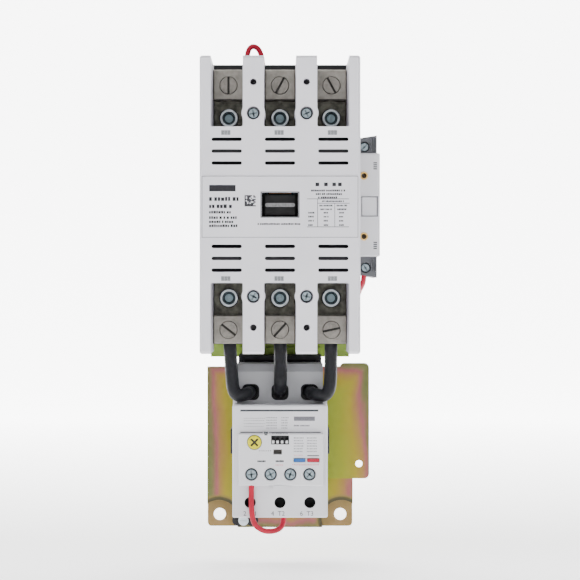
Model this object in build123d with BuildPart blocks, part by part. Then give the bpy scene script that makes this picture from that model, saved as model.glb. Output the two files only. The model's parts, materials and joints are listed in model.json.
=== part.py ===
from build123d import *
import os
from math import radians, tan

# A magnetic motor starter: a three-pole contactor and an overload relay on one pressed plate.
# +Z is up, the front faces -Y and +X is to the right. The origin is on the panel face, midway
# between the two lower mounting holes. A depth is a distance in front of that face, so Y = -depth.

# Contactor
pole_pitch = 29.8
poles = (-pole_pitch, 0, pole_pitch)
pillars = (-pole_pitch / 2, pole_pitch / 2)
centre_z = 187.2
cover_width = 90
cover_height = 167
cover_front = 150
cover_back = 84
wall = 2.5
pocket_width = 18
pocket_inner = 43.7
chamber_half = 12.7
vent_rows = (23.3, 30.0, 36.6)
strap_front = 87
strap_back = 84
strap_half = 8.6
strap_bolt_z = 52.4
lug_width = 17.5
lug_front = 104
lug_inner = 62.4
lug_outer = 79.8
lug_screw_z = 70.7
wire_depth = 94.5
block_back = 64

# Magnet and moving system
core_half_height = 15
core_face = 44
magnet_travel = 8
contact_travel = 6

# Mounting plate
plate_thickness = 2
plateau = 10
ear_hole_x = 37.5
ear_hole_radius = 3.8
ear_radius = 12.5

# Overload relay
relay_pitch = 17.2
relay_poles = (-relay_pitch, 0, relay_pitch)
relay_half = 27.5
relay_bottom = 8.3
relay_top = 73.1
relay_front = 110
relay_back = 45
shroud_half = 25.1
shroud_top = 96.1
shroud_front = 88
control_xs = (-16.4, -5.4, 5.9, 16.9)
control_z = 33.6

# Cables
cable_diameter = 7.5
wire_diameter = 3.1

os.makedirs("parts", exist_ok=True)


def block(x_range, depth_range, z_range, mode=Mode.ADD):
    """A rectangular solid between two X values, two depths and two heights."""
    x_low, x_high = x_range
    depth_low, depth_high = depth_range
    z_low, z_high = z_range
    middle = ((x_low + x_high) / 2, -(depth_low + depth_high) / 2, (z_low + z_high) / 2)
    with Locations(middle):
        Box(x_high - x_low, depth_high - depth_low, z_high - z_low, mode=mode)


def round_pin(x, z, depth_range, radius, mode=Mode.ADD):
    """A round solid whose axis runs from front to back."""
    depth_low, depth_high = depth_range
    with Locations(Location((x, -(depth_low + depth_high) / 2, z), (90, 0, 0))):
        Cylinder(radius, depth_high - depth_low, mode=mode)


def upright_pin(x, depth, z_range, radius, mode=Mode.ADD):
    """A round solid whose axis runs up and down."""
    z_low, z_high = z_range
    with Locations((x, -depth, (z_low + z_high) / 2)):
        Cylinder(radius, z_high - z_low, mode=mode)


def centred(middle, half):
    """The two ends of a length that reaches half each way from its middle."""
    return (middle - half, middle + half)


def facing(depth, z=0):
    """A drawing plane that faces the front at a depth, with its origin at a height."""
    return Plane(origin=(0, -depth, z), x_dir=(1, 0, 0), z_dir=(0, -1, 0))


def outward(end, inner, outer):
    """Heights from inner to outer, measured from the contactor's middle towards one end."""
    return tuple(sorted((centre_z + end * inner, centre_z + end * outer)))


def save(piece, name):
    piece.part.label = name
    export_step(piece.part, f"parts/{name}.step")


# --- Mounting plate: one steel pressing, raised under the relay, flat under the contactor ---
plateau_half = 45
plateau_bottom = -7.4
plateau_top = 92
neck_half = 25
neck_top = 104
upper_half = 43
upper_bottom = 98
upper_top = 270
tab_edge = 55.2
tab_bottom = 22.8
tab_top = 94.3
ear_centre = (38, -3)
housing_screw_x = 33
housing_screw_z = 60
hang_slot_x = 30

with BuildPart() as mounting_plate:
    with BuildSketch(facing(plateau - plate_thickness)):
        with Locations((0, (plateau_bottom + plateau_top) / 2)):
            Rectangle(2 * plateau_half, plateau_top - plateau_bottom)
        with Locations((0, (plateau_top + neck_top) / 2)):
            Rectangle(2 * neck_half, neck_top - plateau_top)
        with Locations(((plateau_half + tab_edge) / 2 - 4, (tab_bottom + tab_top) / 2)):
            RectangleRounded(tab_edge - plateau_half + 8, tab_top - tab_bottom, 3)
        with Locations((-ear_centre[0], ear_centre[1]), ear_centre):
            Circle(ear_radius, mode=Mode.SUBTRACT)
        with Locations((48.9, 31.9)):
            Circle(2.2, mode=Mode.SUBTRACT)
    extrude(amount=plate_thickness)
    for side in (-1, 1):
        with BuildSketch(facing(0)):
            with Locations((side * ear_centre[0], ear_centre[1])):
                Circle(ear_radius + plate_thickness)
            with Locations((side * 33.5, 4)):
                RectangleRounded(23, 22.8, 2.4, mode=Mode.INTERSECT)
            with Locations((side * ear_hole_x, 0)):
                Circle(ear_hole_radius, mode=Mode.SUBTRACT)
        extrude(amount=plate_thickness)
        with BuildSketch(facing(0)):
            with Locations((side * ear_centre[0], ear_centre[1])):
                Circle(ear_radius + plate_thickness)
                Circle(ear_radius, mode=Mode.SUBTRACT)
            with Locations((side * 33.5, 4)):
                RectangleRounded(23, 22.8, 2.4, mode=Mode.INTERSECT)
        extrude(amount=plateau)
        flange_x = tuple(sorted((side * neck_half, side * plateau_half)))
        block(flange_x, (0, plateau), (plateau_top - plate_thickness, plateau_top))
    block((-neck_half, neck_half), (0, plateau), (neck_top - plate_thickness, neck_top))
    with BuildSketch(facing(0)):
        with Locations((0, (upper_bottom + upper_top) / 2)):
            Rectangle(2 * upper_half, upper_top - upper_bottom)
        with Locations((0, upper_bottom)):
            Rectangle(2 * neck_half, 2 * (neck_top - upper_bottom) - 4, mode=Mode.SUBTRACT)
        with GridLocations(2 * hang_slot_x, 1, 2, 1):
            with Locations((0, upper_top)):
                SlotOverall(16, 6, rotation=90, mode=Mode.SUBTRACT)
    extrude(amount=plate_thickness)
    for x in (-housing_screw_x, housing_screw_x):
        for z in (centre_z - housing_screw_z, centre_z + housing_screw_z):
            round_pin(x, z, (0, plate_thickness), 2.2, mode=Mode.SUBTRACT)
save(mounting_plate, "mounting_plate")


# --- Magnet housing: black moulded box, open at the front, screwed to the plate ---
housing_half = 42
housing_half_height = 73
housing_floor = 6
coil_terminal_xs = (-10, 10)
loop_terminal_x = -20.5

with BuildPart() as magnet_housing:
    block(centred(0, housing_half), (plate_thickness, block_back), centred(centre_z, housing_half_height))
    fillet(magnet_housing.edges().filter_by(Axis.Y), 3)
    block(centred(0, housing_half - 4), (housing_floor, block_back), centred(centre_z, 69),
          mode=Mode.SUBTRACT)
    for x in (-housing_screw_x, housing_screw_x):
        for z in (centre_z - housing_screw_z, centre_z + housing_screw_z):
            round_pin(x, z, (plate_thickness, housing_floor), 2.2, mode=Mode.SUBTRACT)
save(magnet_housing, "magnet_housing")



# --- Screws into the plate: four hold the magnet housing and one holds the relay's foot ---
foot_screw = (-22.5, -2.5)
foot_thickness = 6

with BuildPart() as plate_screws:
    for x in (-housing_screw_x, housing_screw_x):
        for z in (centre_z - housing_screw_z, centre_z + housing_screw_z):
            round_pin(x, z, (0.2, housing_floor), 2)
            round_pin(x, z, (housing_floor, housing_floor + 2.6), 3.8)
            block(centred(x, 3), (housing_floor + 1.6, housing_floor + 2.6), centred(z, 0.5),
                  mode=Mode.SUBTRACT)
    foot_front = plateau + foot_thickness
    round_pin(*foot_screw, (plateau, foot_front), 2)
    round_pin(*foot_screw, (foot_front, foot_front + 2.4), 3.1)
    block(centred(foot_screw[0], 2.2), (foot_front + 1.4, foot_front + 2.4), centred(foot_screw[1], 0.4),
          mode=Mode.SUBTRACT)
save(plate_screws, "plate_screws")


# --- Fixed magnet: a laminated E whose three legs point forwards ---
core_half = 35
yoke_front = 20
outer_leg_x = 30
outer_leg_width = 10
centre_leg_width = 18

with BuildPart() as magnet_core:
    with BuildSketch(Plane.XY.offset(centre_z - core_half_height)):
        with Locations((0, -(housing_floor + yoke_front) / 2)):
            Rectangle(2 * core_half, yoke_front - housing_floor)
        with Locations((0, -(yoke_front + core_face) / 2)):
            Rectangle(centre_leg_width, core_face - yoke_front)
        with Locations((-outer_leg_x, -(yoke_front + core_face) / 2),
                       (outer_leg_x, -(yoke_front + core_face) / 2)):
            Rectangle(outer_leg_width, core_face - yoke_front)
    extrude(amount=2 * core_half_height)
    for side in (-1, 1):
        block(centred(side * outer_leg_x, 3.6), (core_face - 2, core_face), centred(centre_z, 12.5),
              mode=Mode.SUBTRACT)
        block(centred(side * outer_leg_x, 2.2), (core_face - 2, core_face), centred(centre_z, 11))
save(magnet_core, "magnet_core")

with BuildPart() as shading_rings:
    for side in (-1, 1):
        block(centred(side * outer_leg_x, 3.6), (core_face - 2, core_face), centred(centre_z, 12.5))
        block(centred(side * outer_leg_x, 2.2), (core_face - 2, core_face), centred(centre_z, 11),
              mode=Mode.SUBTRACT)
save(shading_rings, "shading_rings")


# --- Coil: a bobbin round the centre leg, its winding, and its terminals on top of the housing ---
bobbin_back = 20.5
bobbin_front = 42.5
flange_thickness = 2

with BuildPart() as coil_bobbin:
    for flange_back in (bobbin_back, bobbin_front - flange_thickness):
        block(centred(0, 23.5), (flange_back, flange_back + flange_thickness), centred(centre_z, 27))
    block(centred(0, 11.5), (bobbin_back, bobbin_front), centred(centre_z, 17.5))
    block(centred(0, 9.3), (bobbin_back, bobbin_front), centred(centre_z, 15.3), mode=Mode.SUBTRACT)
save(coil_bobbin, "coil_bobbin")

with BuildPart() as coil_winding:
    winding_depths = (bobbin_back + flange_thickness, bobbin_front - flange_thickness)
    block(centred(0, 22), winding_depths, centred(centre_z, 25.5))
    fillet(coil_winding.edges().filter_by(Axis.Y), 6)
    block(centred(0, 11.5), winding_depths, centred(centre_z, 17.5), mode=Mode.SUBTRACT)
save(coil_winding, "coil_winding")

terminal_base_z = centre_z + housing_half_height
terminal_top_z = terminal_base_z + 7
coil_wire_depth = 50

with BuildPart() as coil_terminals:
    for x in (*coil_terminal_xs, loop_terminal_x):
        block(centred(x, 4), centred(coil_wire_depth, 5), (terminal_base_z, terminal_top_z))
        upright_pin(x, coil_wire_depth, (terminal_top_z - 4, terminal_top_z), 2.1, mode=Mode.SUBTRACT)
    fillet(coil_terminals.edges().filter_by(Axis.Z).filter_by(GeomType.LINE), 0.6)
save(coil_terminals, "coil_terminals")


# --- Armature and crossbar: they slide back together when the coil pulls ---
armature_face = core_face + magnet_travel + 0.3
armature_front = block_back
bar_half = 41.5
bar_base = (block_back, block_back + 8)
bar_base_half = 37.4
web_depths = (92, 96.9)
bar_depths = (119, 125)

with BuildPart() as armature:
    block(centred(0, core_half), (armature_face + 4, armature_front), centred(centre_z, core_half_height))
    block(centred(0, centre_leg_width / 2), (armature_face, armature_face + 4),
          centred(centre_z, core_half_height))
    for side in (-1, 1):
        block(centred(side * outer_leg_x, outer_leg_width / 2), (armature_face, armature_face + 4),
              centred(centre_z, core_half_height))
save(armature, "armature")

with BuildPart() as crossbar:
    block(centred(0, core_half), bar_base, centred(centre_z, 26))
    block(centred(0, bar_base_half), bar_base, centred(centre_z, 7))
    for x in pillars:
        block(centred(x, 1.5), (bar_base[1], bar_depths[1]), centred(centre_z, 7))
    for x in (-bar_half + 1.5, bar_half - 1.5):
        block(centred(x, 1.5), (bar_base[1] + 1, bar_depths[1]), centred(centre_z, 7))
    block(centred(0, bar_half), web_depths, centred(centre_z, 3))
    block(centred(0, bar_half), bar_depths, centred(centre_z, 7))
    block(centred(0, 8.4), (bar_depths[1], 143), centred(centre_z, 5.5))
    with BuildSketch(facing(143, centre_z)):
        SlotOverall(16.8, 2.2)
    extrude(amount=3)
save(crossbar, "crossbar")


# --- Springs: two return springs behind the crossbar and one contact spring on each bridge ---
def coil_spring(spots, depth_range, radius, wire, turns):
    """Round-wire compression springs, one on each (x, z) spot."""
    rear, front = depth_range
    height = front - rear - wire
    with BuildPart() as spring:
        for x, z in spots:
            with BuildLine():
                turn_line = Helix(pitch=height / turns, height=height, radius=radius,
                                  center=(x, -rear - wire / 2, z), direction=(0, -1, 0))
            with BuildSketch(Plane(origin=turn_line @ 0, z_dir=turn_line % 0)):
                Circle(wire / 2)
            sweep(path=turn_line, is_frenet=True)
    return spring


return_spring_spots = [(x, centre_z + z) for x in (-14, 14) for z in (-21, 21)]
return_springs = coil_spring(return_spring_spots, (bobbin_front, block_back), 3.4, 0.9, 5)
save(return_springs, "return_springs")

# --- Contact bridges: copper bars with silver tips, each loose in its window of the crossbar ---
bridge_back = 97
bridge_front = 100
tip_z = 16
bridge_names = ("left", "middle", "right")

for pole, bridge_name in zip(poles, bridge_names):
    with BuildPart() as contact_bridge:
        block(centred(pole, 6.5), (bridge_back, bridge_front), centred(centre_z, 22))
        fillet(contact_bridge.edges().filter_by(Axis.Y), 1.5)
        for end in (-1, 1):
            block(centred(pole, 4), (bridge_back - 2, bridge_back), centred(centre_z + end * tip_z, 3))
    save(contact_bridge, f"contact_bridge_{bridge_name}")
    spring = coil_spring([(pole, centre_z)], (bridge_front, bar_depths[0]), 4, 1, 5)
    save(spring, f"contact_spring_{bridge_name}")


# --- Contact block: moulded deck that carries the straps and guides the crossbar ---
deck_half = 44
deck_z = (centre_z - 79.5, centre_z + 84.5)
cover_screw_z = 51.3

with BuildPart() as contact_block:
    block(centred(0, deck_half), (block_back, strap_back), deck_z)
    fillet(contact_block.edges().filter_by(Axis.Y), 2)
    block(centred(0, core_half + 1.2), (block_back, 76), centred(centre_z, 27.5), mode=Mode.SUBTRACT)
    block(centred(0, bar_half + 0.6), (block_back, strap_back), centred(centre_z, 8.5),
          mode=Mode.SUBTRACT)
    for end in (-1, 1):
        for x in poles:
            round_pin(x, centre_z + end * strap_bolt_z, (68, strap_back), 3, mode=Mode.SUBTRACT)
            block(centred(x, 10), (block_back, 78), outward(end, 32, 78), mode=Mode.SUBTRACT)
        for x in pillars:
            round_pin(x, centre_z + end * cover_screw_z, (68, strap_back), 1.7, mode=Mode.SUBTRACT)
save(contact_block, "contact_block")


# --- Fixed contacts: a strap for each side of each pole, silver tips, and its socket-head bolt ---
with BuildPart() as line_straps:
    for x in poles:
        block(centred(x, strap_half), (strap_back, strap_front), outward(1, 11, lug_outer))
        round_pin(x, centre_z + strap_bolt_z, (strap_back, strap_front), 3.1, mode=Mode.SUBTRACT)
save(line_straps, "line_straps")

with BuildPart() as load_straps:
    for x in poles:
        block(centred(x, strap_half), (strap_back, strap_front), outward(-1, 11, lug_outer - 1))
        round_pin(x, centre_z - strap_bolt_z, (strap_back, strap_front), 3.1, mode=Mode.SUBTRACT)
save(load_straps, "load_straps")

with BuildPart() as contact_tips:
    for x in poles:
        for end in (-1, 1):
            block(centred(x, 4.5), (strap_front, bridge_back - 2 - contact_travel - 0.3),
                  centred(centre_z + end * tip_z, 3.5))
save(contact_tips, "contact_tips")

with BuildPart() as strap_bolts:
    for x in poles:
        for end in (-1, 1):
            z = centre_z + end * strap_bolt_z
            round_pin(x, z, (70, strap_front), 2.9)
            round_pin(x, z, (strap_front, strap_front + 8), 5.5)
            with BuildSketch(facing(strap_front + 4.5, z)):
                with Locations((x, 0)):
                    RegularPolygon(3.6, 6)
            extrude(amount=4, mode=Mode.SUBTRACT)
save(strap_bolts, "strap_bolts")


# --- Arc plates: steel splitter plates across each break ---
plate_rows = (26, 29.6, 33.2, 36.8, 40.2)

with BuildPart() as arc_plates:
    for x in poles:
        for end in (-1, 1):
            for row in plate_rows:
                z = centre_z + end * row
                block(centred(x, chamber_half), (90, 122), centred(z, 0.6))
                block(centred(x, 4), (90, 108), centred(z, 0.6), mode=Mode.SUBTRACT)
save(arc_plates, "arc_plates")


# --- Lugs: plated blocks on the strap ends, with a wire hole up through them and a slotted screw ---
lug_screw_radius = 5.25
wire_hole_radius = 4.6
# Turn of each slot from level, seen from the front, for the three poles from left to right
slot_turns = {1: (90, 60, 110), -1: (-40, 50, 15)}

for end, lug_name, lug_far in ((1, "line_lugs", lug_outer), (-1, "load_lugs", lug_outer - 1)):
    with BuildPart() as lugs:
        for x in poles:
            with BuildSketch(facing(strap_front)):
                with Locations((x, centre_z + end * (lug_inner + lug_far) / 2)):
                    Rectangle(lug_width, lug_far - lug_inner)
            extrude(amount=lug_front - strap_front)
        chamfer(lugs.faces().group_by(Axis.Y)[0].edges(), 0.5)
        for x in poles:
            upright_pin(x, wire_depth, outward(end, lug_inner, lug_far), wire_hole_radius,
                        mode=Mode.SUBTRACT)
            round_pin(x, centre_z + end * lug_screw_z, (wire_depth, lug_front), lug_screw_radius,
                      mode=Mode.SUBTRACT)
    save(lugs, lug_name)

for end, screw_name in ((1, "line_lug_screws"), (-1, "load_lug_screws")):
    with BuildPart() as lug_screws:
        for x, turn in zip(poles, slot_turns[end]):
            z = centre_z + end * lug_screw_z
            round_pin(x, z, (wire_depth + wire_hole_radius, lug_front + 0.2), lug_screw_radius - 0.05)
            with BuildSketch(facing(lug_front - 1.4, z)):
                with Locations(Location((x, 0), turn)):
                    Rectangle(12, 1.3)
            extrude(amount=2, mode=Mode.SUBTRACT)
    save(lug_screws, screw_name)


# --- Front cover: pale moulded shell over the contacts, open at both ends for the lugs ---
pillar_hole_z = 68.7
window_half = (10.2, 6.75)
cover_screw_recess = 3.75
cover_end = cover_height / 2
screw_boss_radius = 6.6

with BuildPart() as front_cover:
    with BuildSketch(facing(cover_back, centre_z)):
        RectangleRounded(cover_width, cover_height, 1.6)
    extrude(amount=cover_front - cover_back)
    chamfer(front_cover.faces().sort_by(Axis.Y)[0].edges(), 1.4)
    for x in poles:
        block(centred(x, chamber_half), (cover_back, cover_front - wall), centred(centre_z, 41.5),
              mode=Mode.SUBTRACT)
        for end in (-1, 1):
            with BuildSketch(facing(cover_back, centre_z)):
                with Locations((x, end * (pocket_inner + cover_end + 5) / 2)):
                    RectangleRounded(pocket_width, cover_end + 5 - pocket_inner, 1)
            extrude(amount=cover_front - cover_back, mode=Mode.SUBTRACT)
            with BuildSketch(facing(cover_front - wall, centre_z)):
                with Locations(*((x, end * row) for row in vent_rows)):
                    SlotOverall(17, 2)
            extrude(amount=wall, mode=Mode.SUBTRACT)
    block(centred(0, bar_half + 0.6), (cover_back, bar_depths[1] + 1), centred(centre_z, 9),
          mode=Mode.SUBTRACT)
    for x in poles:
        block(centred(x, strap_half + 0.3), (cover_back, strap_front + 0.3), centred(centre_z, 45),
              mode=Mode.SUBTRACT)
    block(centred(0, window_half[0]), (cover_front - wall, cover_front),
          centred(centre_z, window_half[1]), mode=Mode.SUBTRACT)
    for x in pillars:
        for end in (-1, 1):
            round_pin(x, centre_z + end * cover_screw_z, (cover_front - 28, cover_front - 0.4),
                      screw_boss_radius)
            round_pin(x, centre_z + end * pillar_hole_z, (cover_front - 22, cover_front), 1.85,
                      mode=Mode.SUBTRACT)
            round_pin(x, centre_z + end * cover_screw_z, (cover_front - 6, cover_front),
                      cover_screw_recess, mode=Mode.SUBTRACT)
            round_pin(x, centre_z + end * cover_screw_z, (cover_back, cover_front), 1.8,
                      mode=Mode.SUBTRACT)
save(front_cover, "front_cover")

with BuildPart() as cover_screws:
    for x in pillars:
        for end in (-1, 1):
            z = centre_z + end * cover_screw_z
            round_pin(x, z, (70, cover_front - 6), 1.6)
            round_pin(x, z, (cover_front - 6, cover_front - 3.4), 3.2)
            block(centred(x, 2.3), (cover_front - 4.6, cover_front - 3.4), centred(z, 0.45),
                  mode=Mode.SUBTRACT)
            block(centred(x, 0.45), (cover_front - 4.6, cover_front - 3.4), centred(z, 2.3),
                  mode=Mode.SUBTRACT)
save(cover_screws, "cover_screws")

with BuildPart() as nameplate:
    with BuildSketch(facing(cover_front, centre_z)):
        with Locations((0, -1.2)):
            RectangleRounded(87.6, 34.8, 1)
        Rectangle(2 * window_half[0], 2 * window_half[1], mode=Mode.SUBTRACT)
    extrude(amount=0.3)
save(nameplate, "nameplate")


# --- Arc baffles: a curved black vane behind each group of vent slots, wedged between the walls ---
baffle_radius = 11
baffle_middle = cover_front - wall - baffle_radius - 0.5

with BuildPart() as arc_baffles:
    for x in poles:
        for end in (-1, 1):
            height = centre_z + end * vent_rows[1]
            with BuildSketch(Plane(origin=(x - chamber_half, 0, 0), x_dir=(0, 1, 0), z_dir=(1, 0, 0))):
                with Locations((-baffle_middle, height)):
                    Circle(baffle_radius)
                    Circle(baffle_radius - 1.2, mode=Mode.SUBTRACT)
                with Locations((-(cover_front - wall - 4), height)):
                    Rectangle(7, 2 * baffle_radius, mode=Mode.INTERSECT)
            extrude(amount=2 * chamber_half)
save(arc_baffles, "arc_baffles")

# --- Auxiliary contact block on the right side: body, dark terminal shrouds, plunger, eyelets ---
aux_x = (45, 57.4)
aux_z = (158.7, 218.1)
aux_front = 115
aux_back = 52
aux_window_x = (46.9, 56)
aux_window_z = (182, 193)
aux_eyelet_x = 48.2
aux_eyelet_zs = (205.1, 170.2)
aux_shroud_edge = 55.7
aux_screw_spots = ((48.6, 221.8), (49.2, 152.3))
# Where each shroud meets the body, and the height of its outer corner
aux_end_zs = ((218.1, 228.4), (158.7, 146.6))
# The outer face slopes back towards the contactor by this share of the shroud's height
shroud_rise = -0.16

with BuildPart() as aux_body:
    block(aux_x, (aux_back, aux_front), aux_z)
    fillet(aux_body.edges().filter_by(Axis.Y).sort_by(Axis.X)[-2:], 1)
    chamfer(aux_body.faces().sort_by(Axis.Y)[0].edges().sort_by(Axis.X)[-1], 0.8)
    block((aux_window_x[0] - 0.3, aux_window_x[1] + 0.3), (92, aux_front),
          (aux_window_z[0] - 0.3, aux_window_z[1] + 0.3), mode=Mode.SUBTRACT)
    for z in aux_eyelet_zs:
        round_pin(aux_eyelet_x, z, (aux_front - 12, aux_front), 2, mode=Mode.SUBTRACT)
save(aux_body, "aux_body")

with BuildPart() as aux_shrouds:
    for (screw_x, screw_z), end_z in zip(aux_screw_spots, aux_end_zs):
        inner_z, outer_z = end_z
        tip_z = outer_z + (outer_z - inner_z) * shroud_rise
        with BuildSketch(facing(aux_back + 6)):
            with BuildLine():
                Polyline((aux_x[0], inner_z), (aux_shroud_edge, inner_z), (aux_shroud_edge, outer_z),
                         (aux_x[0], tip_z), close=True)
            make_face()
        extrude(amount=aux_front - 3 - aux_back - 6)
        round_pin(screw_x, screw_z, (aux_front - 7, aux_front - 3), 3, mode=Mode.SUBTRACT)
        round_pin(screw_x, screw_z, (aux_front - 15, aux_front - 3), 1.3, mode=Mode.SUBTRACT)
    for row in range(3):
        rib_x = 52.6 + 1.1 * row
        for z in (219.4, 150.4):
            block((rib_x, rib_x + 0.5), (aux_front - 3, aux_front - 1), (z, z + 7))
    upright_pin(48.6, 105, (146.6, 150.5), 2, mode=Mode.SUBTRACT)
save(aux_shrouds, "aux_shrouds")

with BuildPart() as aux_screws:
    for x, z in aux_screw_spots:
        round_pin(x, z, (aux_front - 14, aux_front - 7), 1.2)
        round_pin(x, z, (aux_front - 7, aux_front - 4.4), 2.6)
        block(centred(x, 2.6), (aux_front - 5.6, aux_front - 4.4), centred(z, 0.4), mode=Mode.SUBTRACT)
save(aux_screws, "aux_screws")

with BuildPart() as aux_plunger:
    block(aux_window_x, (104, 114), aux_window_z)
    chamfer(aux_plunger.faces().sort_by(Axis.Y)[0].edges(), 0.5)
save(aux_plunger, "aux_plunger")

with BuildPart() as aux_eyelets:
    for z in aux_eyelet_zs:
        round_pin(aux_eyelet_x, z, (aux_front - 12, aux_front), 1.95)
        round_pin(aux_eyelet_x, z, (aux_front, aux_front + 0.4), 2.4)
        round_pin(aux_eyelet_x, z, (aux_front - 12, aux_front + 0.4), 1.5, mode=Mode.SUBTRACT)
save(aux_eyelets, "aux_eyelets")


# --- Relay base: black moulding on the plate, with side clips and a foot for its fixing screw ---
base_half = 25
base_z = (14, 100)
clip_z = (41.9, 56.6)
clip_outer = 29.4

with BuildPart() as relay_base:
    block(centred(0, base_half), (plateau, relay_back), base_z)
    block(centred(0, base_half - 3), (plateau + 3, relay_back), (base_z[0] + 3, base_z[1] - 3),
          mode=Mode.SUBTRACT)
    for side in (-1, 1):
        arm = tuple(sorted((side * base_half, side * clip_outer)))
        block(arm, (38, relay_back), clip_z)
        hook = tuple(sorted((side * relay_half, side * clip_outer)))
        block(hook, (relay_back, 64), clip_z)
    with BuildSketch(facing(plateau)):
        with Locations((foot_screw[0] + 1, 4.5)):
            Rectangle(13, 19.5)
        with Locations((foot_screw[0] - 3.4, foot_screw[1]), (foot_screw[0] + 5.4, foot_screw[1])):
            Circle(3.6)
    extrude(amount=foot_thickness)
    round_pin(*foot_screw, (plateau, plateau + foot_thickness), 2.1, mode=Mode.SUBTRACT)
save(relay_base, "relay_base")

# --- Relay housing: pale front shell with openings for the controls and the terminals ---
shell = 2.2
load_hole_z = 17
load_hole_radius = 3.25
load_wire_depth = 75
load_wire_radius = 5
loop_wire_entry = (2.2, 96)
dial_spot = (-14.7, 52)
dial_radius = 4
dip_x = (-5.1, 5.2)
dip_z = (50.8, 55.9)
flag_window_x = (-3.8, 1.1)
flag_window_z = (45, 47.9)
button_z = (40.8, 42.7)
reset_x = (8, 14.4)
test_x = (15.8, 22.5)
button_gap = 0.25
panel_x = (-24, 25)
panel_z = (27.1, 57)
panel_front = relay_front + 4
control_wire_depth = 112


def cut_front_openings(depth_range):
    """The dial, switch, flag and button openings through the relay's front walls."""
    round_pin(*dial_spot, depth_range, dial_radius + 0.3, mode=Mode.SUBTRACT)
    block(dip_x, depth_range, dip_z, mode=Mode.SUBTRACT)
    block(flag_window_x, depth_range, flag_window_z, mode=Mode.SUBTRACT)
    for low, high in (reset_x, test_x):
        block((low - button_gap, high + button_gap), depth_range,
              (button_z[0] - button_gap, button_z[1] + button_gap), mode=Mode.SUBTRACT)


with BuildPart() as relay_housing:
    with BuildSketch(facing(relay_back)):
        with Locations((0, (relay_bottom + relay_top) / 2)):
            RectangleRounded(2 * relay_half, relay_top - relay_bottom, 1.2)
    extrude(amount=relay_front - relay_back)
    chamfer(relay_housing.faces().sort_by(Axis.Y)[0].edges(), 0.7)
    block(centred(0, relay_half - shell), (relay_back, relay_front - shell - 0.3),
          (relay_bottom + shell, relay_top - shell), mode=Mode.SUBTRACT)
    for side in (-1, 1):
        shoulder = tuple(sorted((side * shroud_half, side * relay_half)))
        block(shoulder, (relay_back, 92), (relay_top - 1, 79))
    block((-22.9, 22.1), (relay_front - 1, relay_front), (69.5, 70.6), mode=Mode.SUBTRACT)
    cut_front_openings((relay_front - 3, relay_front))
    for x in relay_poles:
        round_pin(x, load_hole_z, (relay_front - 3, relay_front), load_hole_radius, mode=Mode.SUBTRACT)
        upright_pin(x, load_wire_depth, (relay_bottom, relay_bottom + shell), load_wire_radius,
                    mode=Mode.SUBTRACT)
        block(centred(x, 5), (62, 68), (relay_top - shell, relay_top), mode=Mode.SUBTRACT)
    upright_pin(*loop_wire_entry, (relay_bottom, relay_bottom + shell), 1.85, mode=Mode.SUBTRACT)
save(relay_housing, "relay_housing")

with BuildPart() as relay_panel:
    with BuildSketch(facing(relay_front)):
        with Locations((sum(panel_x) / 2, sum(panel_z) / 2)):
            RectangleRounded(panel_x[1] - panel_x[0], panel_z[1] - panel_z[0], 0.8)
        with Locations((-8.1, panel_z[1])):
            Circle(1.7)
    extrude(amount=panel_front - relay_front)
    chamfer(relay_panel.faces().sort_by(Axis.Y)[0].edges(), 0.5)
    cut_front_openings((relay_front, panel_front))
    block((-4, 3.5), (relay_front, panel_front), (25.2, panel_z[0]))
    for x in control_xs:
        round_pin(x, control_z, (relay_front, panel_front), 3.7, mode=Mode.SUBTRACT)
        upright_pin(x, control_wire_depth, (panel_z[0], control_z), 1.75, mode=Mode.SUBTRACT)
save(relay_panel, "relay_panel")

with BuildPart() as control_screws:
    for x in control_xs:
        round_pin(x, control_z, (panel_front - 2, panel_front + 0.1), 3.4)
        block(centred(x, 3.5), (panel_front - 1, panel_front + 0.1), centred(control_z, 0.45),
              mode=Mode.SUBTRACT)
        block(centred(x, 0.45), (panel_front - 1, panel_front + 0.1), centred(control_z, 1.9),
              mode=Mode.SUBTRACT)
        round_pin(x, control_z, (relay_front, panel_front - 2), 1.5)
save(control_screws, "control_screws")

with BuildPart() as relay_shroud:
    block(centred(0, shroud_half), (relay_back, shroud_front), (relay_top, shroud_top))
    chamfer(relay_shroud.faces().sort_by(Axis.Z)[-1].edges().sort_by(Axis.Y)[0], 4.4)
    block(centred(0, shroud_half - 2), (relay_back, shroud_front - 3), (relay_top, 91), mode=Mode.SUBTRACT)
    with BuildSketch(facing(shroud_front - 3)):
        with Locations(*((x, 79.7) for x in relay_poles)):
            RectangleRounded(10, 9.4, 3)
    extrude(amount=3, mode=Mode.SUBTRACT)
save(relay_shroud, "relay_shroud")


# --- Relay controls: trip-current dial, switch block with four sliders, buttons and trip flag ---
with BuildPart() as fla_dial:
    round_pin(*dial_spot, (relay_front - 5, panel_front + 0.6), dial_radius)
    chamfer(fla_dial.faces().sort_by(Axis.Y)[0].edges(), 0.4)
    with BuildSketch(facing(panel_front - 0.4)):
        with Locations(dial_spot):
            Rectangle(5.6, 1.1, rotation=45)
            Rectangle(5.6, 1.1, rotation=-45)
    extrude(amount=1, mode=Mode.SUBTRACT)
save(fla_dial, "fla_dial")

slider_xs = (-3.9, -1.4, 1.2, 3.9)
slider_z = (51.4, 53)
slider_travel = 1.8

with BuildPart() as dip_block:
    block(dip_x, (relay_front - 6, panel_front + 0.1), dip_z)
    for x in slider_xs:
        block(centred(x, 0.9), (relay_front - 1.6, panel_front + 0.1),
              (slider_z[0] - 0.3, slider_z[1] + slider_travel + 0.3), mode=Mode.SUBTRACT)
save(dip_block, "dip_block")

for number, x in enumerate(slider_xs, start=1):
    with BuildPart() as dip_slider:
        block(centred(x, 0.65), (relay_front - 1.4, panel_front + 0.3), slider_z)
        fillet(dip_slider.edges().filter_by(Axis.Y), 0.15)
    save(dip_slider, f"dip_slider_{number}")

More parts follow.
